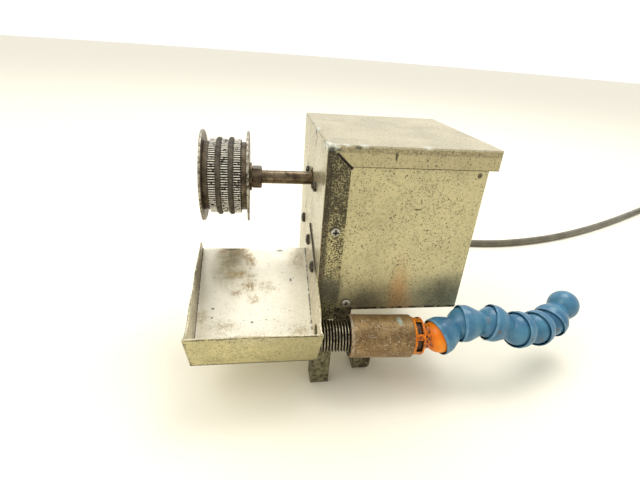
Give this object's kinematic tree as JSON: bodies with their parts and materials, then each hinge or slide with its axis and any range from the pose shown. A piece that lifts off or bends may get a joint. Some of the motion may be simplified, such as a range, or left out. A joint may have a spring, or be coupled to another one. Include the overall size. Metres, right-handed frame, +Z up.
{
  "type": "drill bit sharpener",
  "caption": "Small motorised bench sharpener with a ribbed drum on a spindle, a sheet steel motor housing, a tilted catch tray and a jointed coolant hose.",
  "frame": {"origin": "on the standing surface, below the middle of the machine's box without its mains cord", "axes": "+X along the spindle towards the motor, +Y away from the operator, +Z up"},
  "size_m": [0.8037, 0.3922, 0.166],
  "materials": {
    "galvanised_sheet": "aged, speckled, satin",
    "tray_sheet": "worn bright, stained",
    "plated_screw": "dull plated",
    "weathered_steel": "rough, weathered",
    "laminated_steel": "laminated",
    "enamelled_copper": "varnished",
    "bright_copper": "satin",
    "cast_zinc": "as cast",
    "sintered_bronze": "porous",
    "fibre_washer": "matt",
    "spindle_steel": "oily, browned",
    "disc_steel": "worn, stained",
    "ribbed_steel": "bright ribs, dark grooves",
    "spacer_rubber": "dusty",
    "black_pipe": "black, bright crests",
    "coupling_steel": "oxide brown",
    "orange_plastic": "semi gloss",
    "blue_plastic": "semi gloss, scuffed",
    "cord_jacket": "satin",
    "wire_insulation": "satin",
    "wire_nut_plastic": "satin",
    "ground_insulation": "satin",
    "black_moulding": "moulded",
    "blade_brass": "satin"
  },
  "bodies": {
    "machine": {"bottom_plate": "galvanised_sheet", "catch_tray": "tray_sheet", "cord_coil": "cord_jacket", "cord_tail": "cord_jacket", "cover_screws": "plated_screw", "front_left_leg": "weathered_steel", "front_middle_leg": "weathered_steel", "ground_screw": "plated_screw", "ground_wire": "ground_insulation", "hose_connector": "orange_plastic", "lead_wires": "wire_insulation", "left_bearing_bracket": "cast_zinc", "left_bearing_bush": "sintered_bronze", "leg_screws": "plated_screw", "motor_nuts": "plated_screw", "motor_screws": "plated_screw", "panel_screws": "plated_screw", "pipe_coupling": "coupling_steel", "pipe_nipple": "black_pipe", "plug": "black_moulding", "plug_blades": "blade_brass", "power_cord": "cord_jacket", "rear_left_leg": "weathered_steel", "rear_right_leg": "weathered_steel", "right_bearing_bracket": "cast_zinc", "right_bearing_bush": "sintered_bronze", "shading_rings": "bright_copper", "stator_core": "laminated_steel", "stator_winding": "enamelled_copper", "strain_relief": "black_moulding", "top_left_cover": "galvanised_sheet", "tray_screws": "plated_screw", "wire_nuts": "wire_nut_plastic", "wrapper_panel": "galvanised_sheet"},
    "spindle": {"spindle_shaft": "spindle_steel", "rotor": "laminated_steel", "thrust_washers": "fibre_washer", "inner_cheek_disc": "disc_steel", "outer_cheek_disc": "disc_steel", "inner_backing_disc": "disc_steel", "outer_backing_disc": "disc_steel", "ribbed_ring_1": "ribbed_steel", "ribbed_ring_2": "ribbed_steel", "ribbed_ring_3": "ribbed_steel", "spacer_ring_1": "spacer_rubber", "spacer_ring_2": "spacer_rubber", "spindle_washer": "spindle_steel", "spindle_nut": "spindle_steel", "end_screw": "spindle_steel"},
    "hose_1": {"hose_link_1": "blue_plastic"},
    "hose_2": {"hose_link_2": "blue_plastic"},
    "hose_3": {"hose_link_3": "blue_plastic"},
    "hose_4": {"hose_link_4": "blue_plastic"},
    "hose_5": {"hose_link_5": "blue_plastic"},
    "hose_6": {"hose_link_6": "blue_plastic"}
  },
  "joints": [
    {"name": "spindle_spin", "type": "hinge", "parent": "machine", "child": "spindle", "pos_m": [-0.104, 0.0178, 0.1281], "axis": [1, 0, 0], "continuous": true},
    {"name": "hose_swing_1", "type": "hinge", "parent": "machine", "child": "hose_1", "pos_m": [0.02038, -0.06012, 0.0418], "axis": [0, 0, 1], "range_deg": [-41, 0]},
    {"name": "hose_lift_2", "type": "hinge", "parent": "hose_1", "child": "hose_2", "pos_m": [0.03976, -0.05413, 0.04686], "axis": [-0.0698, -0.9976, 0], "range_deg": [-1, 27]},
    {"name": "hose_swing_3", "type": "hinge", "parent": "hose_2", "child": "hose_3", "pos_m": [0.06059, -0.05558, 0.04759], "axis": [0, 0, 1], "range_deg": [-16, 25]},
    {"name": "hose_lift_4", "type": "hinge", "parent": "hose_3", "child": "hose_4", "pos_m": [0.08084, -0.0585, 0.04331], "axis": [0.279, -0.9603, 0], "range_deg": [-10, 5]},
    {"name": "hose_swing_5", "type": "hinge", "parent": "hose_4", "child": "hose_5", "pos_m": [0.10058, -0.05277, 0.03954], "axis": [0, 0, 1], "range_deg": [-35, 13]},
    {"name": "hose_lift_6", "type": "hinge", "parent": "hose_5", "child": "hose_6", "pos_m": [0.1191, -0.04317, 0.03823], "axis": [0.5329, -0.8462, 0], "range_deg": [-45, 3]}
  ]
}
